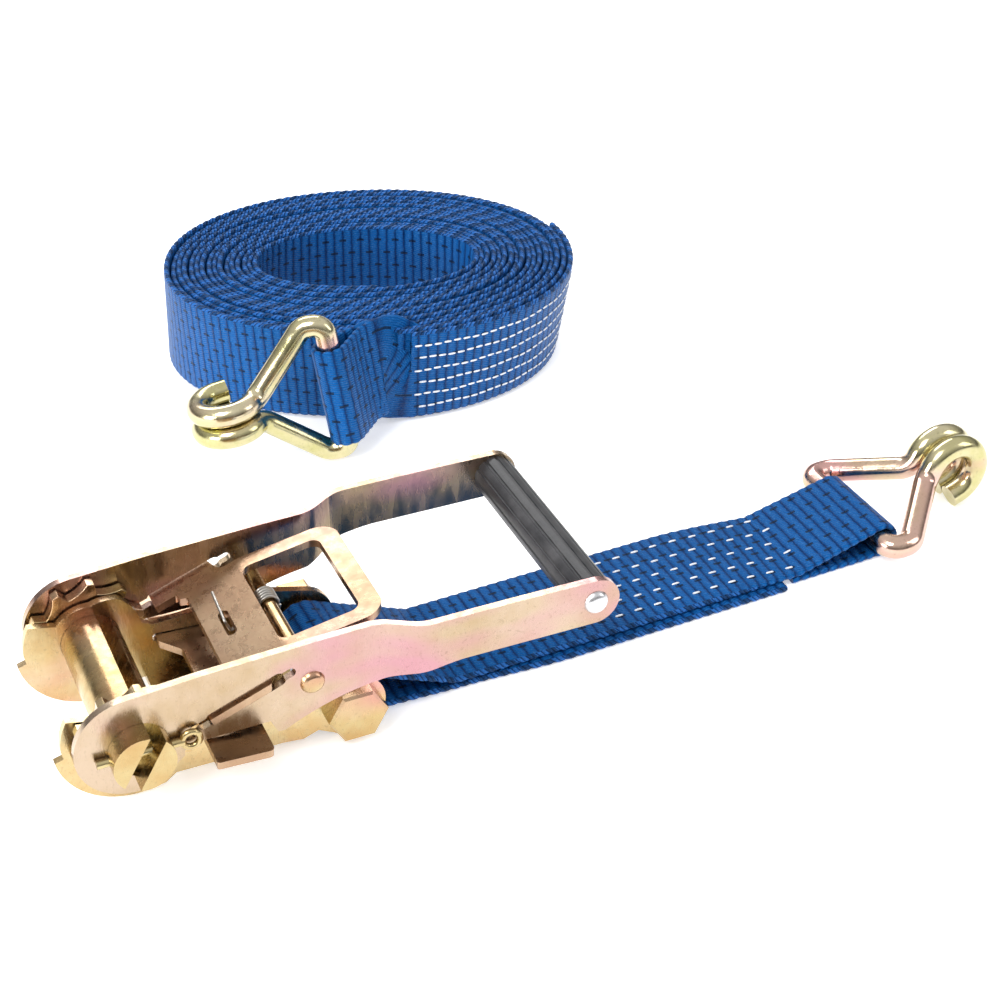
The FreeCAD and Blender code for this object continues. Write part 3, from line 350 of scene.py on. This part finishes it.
# ---------------------------------------------------------------- ribbon of webbing
class Ribbon:
    """Webbing along a line of points, with the direction of its width at each one.

    widths, where given, is how wide it is at each point.
    """

    def __init__(self, points, across, widths=None):
        points = np.asarray(points, float)
        widths = np.full(len(points), WIDTH) if widths is None else np.asarray(widths, float)
        reach = np.concatenate([[0], np.cumsum(np.linalg.norm(np.diff(points, axis=0), axis=1))])
        self.length = reach[-1]
        count = int(round(self.length / STEP))
        self.along = np.linspace(0, self.length, count + 1)

        def resample(values):
            columns = [np.interp(self.along, reach, column) for column in np.asarray(values).T]
            return np.stack(columns, axis=1)

        self.centre = resample(points)
        self.across = resample(across)
        self.width = np.interp(self.along, reach, widths)
        self.tangent = np.gradient(self.centre, axis=0)
        self.tangent /= np.linalg.norm(self.tangent, axis=1)[:, None]
        self.out = np.cross(self.tangent, self.across)
        self.out /= np.linalg.norm(self.out, axis=1)[:, None]
        self.across = np.cross(self.out, self.tangent)

    def mesh(self, name, material, end_material):
        """Closed mesh with ribs and scalloped edges, and its own weave coordinates."""
        crest = np.abs(np.sin(np.pi * self.along / RIB))
        deep = THICK / 2 * (0.80 + 0.20 * crest)
        half = self.width / 2 - SCALLOP * (1 - crest)
        flat = half - deep
        level = np.zeros(len(deep))
        corner = 0.7 * deep
        section = [(share * flat, deep) for share in (-1, -0.5, 0, 0.5, 1)]
        section += [(flat + corner, corner), (half, level), (flat + corner, -corner)]
        section += [(-share * flat, -deep) for share in (-1, -0.5, 0, 0.5, 1)]
        section += [(-flat - corner, -corner), (-half, level), (-flat - corner, corner)]
        v = np.stack([place[0] for place in section], axis=1)
        w = np.stack([place[1] for place in section], axis=1)
        places = (
            self.centre[:, None]
            + v[:, :, None] * self.across[:, None]
            + w[:, :, None] * self.out[:, None]
        )
        stations, around = v.shape
        here = np.arange(stations - 1)[:, None] * around
        k = np.arange(around)[None]
        following = (k + 1) % around
        there = here + around
        quads = np.stack([here + k, here + following, there + following, there + k], axis=2)
        faces = quads.reshape(-1, 4).tolist()
        faces.append(list(range(around))[::-1])
        faces.append([(stations - 1) * around + i for i in range(around)])
        mesh = bpy.data.meshes.new(name)
        mesh.from_pydata(places.reshape(-1, 3).tolist(), [], faces)
        weave = np.stack([np.broadcast_to(self.along[:, None], v.shape), v, w], axis=2)
        layer = mesh.attributes.new("weave", "FLOAT_VECTOR", "POINT")
        layer.data.foreach_set("vector", weave.astype(np.float32).ravel())
        mesh.materials.append(material)
        mesh.materials.append(end_material)
        mesh.shade_smooth()
        for end in mesh.polygons[-2:]:
            end.material_index = 1
            end.use_smooth = False
        piece = bpy.data.objects.new(name, mesh)
        bpy.context.scene.collection.objects.link(piece)
        return piece

    def at(self, along, across, out):
        """Point and the two directions of the webbing's surface, at a distance along it."""
        i = min(len(self.along) - 1, max(0, int(round(along / STEP))))
        place = self.centre[i] + across * self.across[i] + out * self.out[i]
        return place, self.tangent[i], self.across[i], self.out[i]


def stitches(name, ribbon, rows, start, end, pitch, material):
    """Rows of sewn thread: one little flattened bead for each stitch that shows."""
    long, thick, high = 0.0017, 0.00055, 0.0004  # half a bead's length and width, and its height
    rings = [(-1.0, 0.35), (-0.8, 0.85), (0.0, 1.0), (0.8, 0.85), (1.0, 0.35)]  # place, size
    around = 8
    points, faces = [], []
    for number, row in enumerate(rows):
        places = np.arange(start + (number % 2) * pitch / 2, end, pitch)
        for order, along in enumerate(places):
            sway = 0.0003 * math.sin(5.1 * order + 2.3 * number)
            place, tangent, across, out = ribbon.at(along, row + sway, THICK / 2)
            base = len(points)
            for reach, size in rings:
                for step in range(around):
                    angle = 2 * math.pi * step / around
                    rise = max(0.0, math.sin(angle)) * high + 0.15 * math.sin(angle) * high
                    points.append(
                        place
                        + tangent * (reach * long)
                        + across * (size * thick * math.cos(angle))
                        + out * (size * rise)
                    )
            for ring in range(len(rings) - 1):
                for step in range(around):
                    a = base + ring * around + step
                    b = base + ring * around + (step + 1) % around
                    faces.append((a, b, b + around, a + around))
            faces.append([base + s for s in range(around)][::-1])
            faces.append([base + (len(rings) - 1) * around + s for s in range(around)])
    mesh = bpy.data.meshes.new(name)
    mesh.from_pydata([tuple(p) for p in points], [], faces)
    mesh.materials.append(material)
    mesh.shade_smooth()
    piece = bpy.data.objects.new(name, mesh)
    bpy.context.scene.collection.objects.link(piece)
    return piece


# ---------------------------------------------------------------- lines that webbing follows
def straight(a, b, step=0.002):
    a, b = np.asarray(a, float), np.asarray(b, float)
    count = max(2, int(np.linalg.norm(b - a) / step))
    return a + (b - a) * np.linspace(0, 1, count)[:, None]


def bezier(a, a_way, b_way, b, count=24):
    t = np.linspace(0, 1, count)[:, None]
    return (1 - t) ** 3 * a + 3 * (1 - t) ** 2 * t * a_way + 3 * (1 - t) * t**2 * b_way + t**3 * b


def turn_round(centre, radius, first, second, sweep_from, sweep_to, count=40):
    """Points of an arc about a centre in the plane of two unit directions."""
    angle = np.linspace(sweep_from, sweep_to, count)[:, None]
    return centre + radius * (np.cos(angle) * first + np.sin(angle) * second)


def ease(value, low, high):
    t = np.clip((np.asarray(value, float) - low) / (high - low), 0, 1)
    return t * t * (3 - 2 * t)


# ---------------------------------------------------------------- short strap
SLEEVE_PLAY = 0.0012  # between the bolt's sleeve and the webbing round it
CUT_END_SHARE = 0.80  # where the under ply's cut end lies, as a share of the way to the hook
CUT_END_GAP = 0.006  # between the strap's two cut ends, both under the upper ply
FOLD_REACH = 6.2 * SLEEVE  # from the bolt to where the two plies meet
TIP_REACH = 0.040  # from the hook's bar to where the upper ply bends down to it
BACK_REACH = 0.012  # from the hook's bar to where the ply that comes back lies flat
TAPER_REACH = 0.085  # from the hook's bar to where the strap starts to narrow
TAPER = 0.0075  # how much narrower the strap is at the hook
TAPER_SHIFT = -0.0032  # how far that end lies to the side
UNDER_SHIFT = 0.0030  # how far the under ply shows beside the upper one
UNDER_EASE = 0.05  # the length over which it moves there


def short_strap():
    """One length of webbing: round the bolt's sleeve, along, round the hook's bar and back.

    Returns the ribbon, and the length along it at which the upper ply is over the bolt.
    """
    start = np.array(joint("short_strap_swing")["pos_m"])
    bar = np.array(joint("short_hook_swing")["pos_m"])
    forward = unit([bar[0] - start[0], bar[1] - start[1], 0])
    side = np.array([-forward[1], forward[0], 0.0])
    up = np.array([0.0, 0.0, 1.0])
    length = float(np.dot(bar - start, forward))
    low = start + up * (first_bounds[0].z - start[2] + PLY / 2)
    high = low + up * PLY

    def along(base, distance):
        return base + forward * distance

    sleeve_loop = SLEEVE + SLEEVE_PLAY + THICK / 2
    hook_loop = WIRE + LOOP_PLAY + THICK / 2
    near_end = length * CUT_END_SHARE
    far_end = near_end + CUT_END_GAP
    sleeve_lean, hook_lean = math.radians(76), math.radians(80)
    sleeve_stop = -2 * math.pi + sleeve_lean
    hook_start, hook_stop = hook_lean + math.pi / 10, -math.pi + hook_lean
    under = straight(along(low, near_end), along(low, FOLD_REACH))
    round_sleeve = turn_round(start, sleeve_loop, forward, up, -sleeve_lean, sleeve_stop)
    over = straight(along(high, FOLD_REACH), along(high, length - TIP_REACH))
    round_hook = turn_round(bar, hook_loop, forward, up, hook_start, hook_stop)
    back = straight(along(low, length - BACK_REACH), along(low, far_end))
    points = np.concatenate([under, round_sleeve, over, round_hook, back])

    number = np.arange(len(points))
    folded = len(under) + len(round_sleeve)
    distance = (points - start) @ forward
    taper = ease(distance, length - TAPER_REACH, length - BACK_REACH)
    narrow = np.where(number >= folded, taper, 0.0)
    aside = UNDER_SHIFT * ease(distance, FOLD_REACH, FOLD_REACH + UNDER_EASE)
    sideways = TAPER_SHIFT * narrow - np.where(number < len(under), aside, 0)
    points = points + sideways[:, None] * side
    ribbon = Ribbon(points, np.broadcast_to(side, points.shape), WIDTH - TAPER * narrow)
    top_starts = np.linalg.norm(np.diff(points[: folded + 1], axis=0), axis=1).sum()
    return ribbon, top_starts - FOLD_REACH


# ---------------------------------------------------------------- long strap
class Oval:
    """Outline of the coil at one level, measured on its CAD piece."""

    def __init__(self, points):
        best = None
        for degrees in np.arange(-90, 90, 0.25):
            angle = math.radians(degrees)
            axis = np.array([math.cos(angle), math.sin(angle)])
            reach = points[:, :2] @ axis
            if best is None or reach.max() - reach.min() > best[0]:
                best = (reach.max() - reach.min(), axis)
        self.major = best[1]
        self.minor = np.array([-self.major[1], self.major[0]])
        spans = [points[:, :2] @ axis for axis in (self.major, self.minor)]
        self.half = [(span.max() - span.min()) / 2 for span in spans]
        centre = [(span.max() + span.min()) / 2 for span in spans]
        self.centre = centre[0] * self.major + centre[1] * self.minor
        self.level = points[0][2]

    def point(self, angle, inset):
        """Points at angles round the oval, inside its outline by an inset."""
        bulge = 2 / 2.1  # a little fuller than an ellipse
        x = (self.half[0] - inset) * np.sign(np.cos(angle)) * np.abs(np.cos(angle)) ** bulge
        y = (self.half[1] - inset) * np.sign(np.sin(angle)) * np.abs(np.sin(angle)) ** bulge
        place = self.centre + x[:, None] * self.major + y[:, None] * self.minor
        return np.concatenate([place, np.full((len(angle), 1), self.level)], axis=1)


def wound(top, foot, angle, inset, lift):
    """Centre points and width directions of webbing that lies along the coil."""
    high, low = top.point(angle, inset), foot.point(angle, inset)
    across = high - low
    across /= np.linalg.norm(across, axis=1)[:, None]
    centre = (high + low) / 2
    centre[:, 2] += lift
    return centre, across


COIL_TURNS = 16.0
POINTS_PER_TURN = 220
TURN_PITCH = 0.00278  # from one turn of the coil to the next
COIL_SKIN = 0.0006  # from the coil's CAD outline to its outer turn
LEAVING_ANGLE = -math.pi / 2 + 0.12  # where on the coil the strap leaves for the hook
LOOP_DROP = 0.003  # the loop sits this far below the middle of the hook's bar
LOOP_SWEEP = math.radians(76)  # half of the angle that the loop leaves open
LOOP_NARROWING = 0.003  # how much narrower the webbing is round the bar
PINCH_SHARE = 0.52  # half the distance between the loop's two plies, in plies
SEAM_LIFT = 0.0012  # how far the sewn ply stands above the coil's turns


def long_strap():
    """The coil's spiral, the loop round the hook's bar and the sewn ply outside the coil."""
    solid = frame["nodes"]["long_strap_coil"]
    corners = np.array([tuple(v.co) for v in solid.data.vertices])
    levels = corners[:, 2]
    top = Oval(corners[levels > levels.max() - 0.0001])
    foot = Oval(corners[levels < levels.min() + 0.0001])
    t = np.linspace(COIL_TURNS, 0, int(COIL_TURNS * POINTS_PER_TURN))
    wobble = 0.0006 * (1 + np.sin(2.1 * t)) + 0.0004 * (1 + np.sin(9.7 * t + 1.0))
    inset = THICK / 2 + COIL_SKIN + TURN_PITCH * t + 0.0003 * np.sin(23 * t)
    turning = LEAVING_ANGLE + 2 * math.pi * t
    spiral, spiral_across = wound(top, foot, turning, inset, wobble)

    hook_joint = joint("long_hook_swing")
    bar = np.array(hook_joint["pos_m"])
    bar_up = unit(hook_joint["axis"])
    bar_up = bar_up if bar_up[2] > 0 else -bar_up
    bar = bar - bar_up * LOOP_DROP
    to_coil = spiral[-1] - bar
    heading = unit(to_coil - bar_up * (to_coil @ bar_up))
    beside = np.cross(bar_up, heading)
    radius = WIRE + LOOP_PLAY + THICK / 2
    far_pinch = bar + heading * 0.019 + beside * PLY * PINCH_SHARE
    near_pinch = bar + heading * 0.018 - beside * PLY * PINCH_SHARE
    crease = bar + heading * 0.0265 - beside * 0.0022
    motion = unit(spiral[-1] - spiral[-3])
    leaving = bezier(
        spiral[-1], spiral[-1] + motion * 0.008, far_pinch + heading * 0.006, far_pinch
    )
    loop = turn_round(bar, radius, heading, beside, LOOP_SWEEP, 2 * math.pi - LOOP_SWEEP)
    band = straight(near_pinch, crease)
    join = np.linspace(LEAVING_ANGLE + 0.05, LEAVING_ANGLE + 1.75, 90)
    outer_inset = np.full(len(join), THICK / 2 + COIL_SKIN - PLY)
    outer, outer_across = wound(top, foot, join, outer_inset, SEAM_LIFT)
    ahead = unit(outer[1] - outer[0])
    returning = bezier(crease, crease + heading * 0.003, outer[0] - ahead * 0.004, outer[0])
    returning = returning[1:-1]

    # The width's direction turns from the coil's lean to the bar's, and back again.
    closing = np.linspace(0, 1, len(leaving))
    opening = np.linspace(0, 1, len(returning))
    leaving_across = spiral_across[-1] * (1 - closing[:, None]) + bar_up * closing[:, None]
    returning_across = bar_up * (1 - opening[:, None]) + outer_across[0] * opening[:, None]
    round_bar = [np.broadcast_to(bar_up, part.shape) for part in (loop, band)]
    across = [spiral_across[:-1], leaving_across, *round_bar, returning_across, outer_across]
    full_coil, full_seam = np.zeros(len(spiral) - 1), np.zeros(len(outer))
    at_bar = np.ones(len(loop) + len(band))
    narrow = np.concatenate([full_coil, closing, at_bar, 1 - opening, full_seam])
    points = np.concatenate([spiral[:-1], leaving, loop, band, returning, outer])
    return Ribbon(points, np.concatenate(across), WIDTH - LOOP_NARROWING * narrow)


def build_webbing():
    blue = woven("webbing_blue", (4, 84, 154), (0, 34, 84), (4, 8, 20))
    ends = melted_end("webbing_cut_end")
    white = thread("white_thread")

    ribbon, bolt_along = short_strap()
    strap = ribbon.mesh("short_strap_webbing", blue, ends)
    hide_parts("short_strap")
    rows = [0.0175 - 0.00875 * k for k in range(5)]
    start, end = bolt_along + 0.118, bolt_along + 0.205
    sewn = stitches("short_strap_stitches", ribbon, rows, start, end, 2 * RIB, white)
    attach(strap, "short_strap")
    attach(sewn, "short_strap")
    print("short strap webbing, m:", round(ribbon.length, 4))

    ribbon = long_strap()
    strap = ribbon.mesh("long_strap_webbing", blue, ends)
    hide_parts("long_strap_coil", "long_strap_tail")
    rows = [0.0178 - TRACER_GAP * k for k in range(6)]
    start, end = ribbon.length - SEWN_LENGTH + 0.004, ribbon.length - 0.006
    sewn = stitches("long_strap_stitches", ribbon, rows, start, end, RIB, white)
    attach(strap, "long_strap")
    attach(sewn, "long_strap")
    print("long strap webbing, m:", round(ribbon.length, 4))


finish_hardware()
build_webbing()

# ---------------------------------------------------------------- camera, floor and light
AIM = Vector((0.1783, 0.0540, -0.0035))  # from the spindle, what the camera looks at
CAMERA_DISTANCE = 0.8067
CAMERA_SIDE = math.radians(-24.08)
CAMERA_RISE = math.radians(34.29)

aim = spindle + AIM
back = Vector(
    (
        math.sin(CAMERA_SIDE) * math.cos(CAMERA_RISE),
        -math.cos(CAMERA_SIDE) * math.cos(CAMERA_RISE),
        math.sin(CAMERA_RISE),
    )
)
camera = bpy.data.objects.new("camera", bpy.data.cameras.new("camera"))
bpy.context.scene.collection.objects.link(camera)
camera.data.sensor_width = 36.0
camera.data.lens = 70.31
camera.location = aim + back * CAMERA_DISTANCE
camera.rotation_euler = (-back).to_track_quat("-Z", "Y").to_euler()
bpy.context.scene.camera = camera

FLOOR_REACH = 9  # metres from the middle to each edge
square = ((-1, -1), (1, -1), (1, 1), (-1, 1))
floor_mesh = bpy.data.meshes.new("floor")
floor_mesh.from_pydata(
    [(FLOOR_REACH * x, FLOOR_REACH * y, 0) for x, y in square], [], [(0, 1, 2, 3)]
)
floor_mesh.materials.append(studio_floor())
floor = bpy.data.objects.new("floor", floor_mesh)
bpy.context.scene.collection.objects.link(floor)
floor.location.z = first_bounds[0].z - 0.0002


def area_light(name, place, target, width, height, power):
    light = bpy.data.lights.new(name, "AREA")
    light.shape = "RECTANGLE"
    light.size = width
    light.size_y = height
    light.energy = power
    holder = bpy.data.objects.new(name, light)
    bpy.context.scene.collection.objects.link(holder)
    holder.location = place
    holder.rotation_euler = (Vector(place) - Vector(target)).to_track_quat("Z", "Y").to_euler()


area_light("key", (-0.9, -0.7, 1.5), (0, 0, 0), 0.8, 0.8, 17)
area_light("fill", (1.3, -0.9, 0.9), (0, 0, 0), 0.6, 0.9, 5)
area_light("side", (-1.1, -0.35, 0.4), (0, 0.05, 0.02), 0.5, 0.4, 9)
area_light("back", (0.2, 1.4, 1.2), (0, 0, 0), 1.4, 0.5, 12)

# The surroundings are bright overhead and dark above a white horizon, which the steel shows.
world = bpy.data.worlds.new("studio")
bpy.context.scene.world = world
world.use_nodes = True
sky = world.node_tree
ray = sky.nodes.new("ShaderNodeTexCoord")
axes = sky.nodes.new("ShaderNodeSeparateXYZ")
tone = sky.nodes.new("ShaderNodeValToRGB")
sky.links.new(ray.outputs["Generated"], axes.inputs[0])
sky.links.new(axes.outputs["Z"], tone.inputs["Fac"])
sky.links.new(tone.outputs["Color"], sky.nodes["Background"].inputs["Color"])
for position, level in ((0.045, 1.1), (0.10, 0.10), (0.35, 0.45), (0.75, 1.0)):
    stop = tone.color_ramp.elements.new(position)
    stop.color = (level, level, level, 1)
tone.color_ramp.elements[0].color = (1.1, 1.1, 1.1, 1)
sky.nodes["Background"].inputs["Strength"].default_value = 0.9
bpy.context.scene.view_settings.view_transform = "Standard"
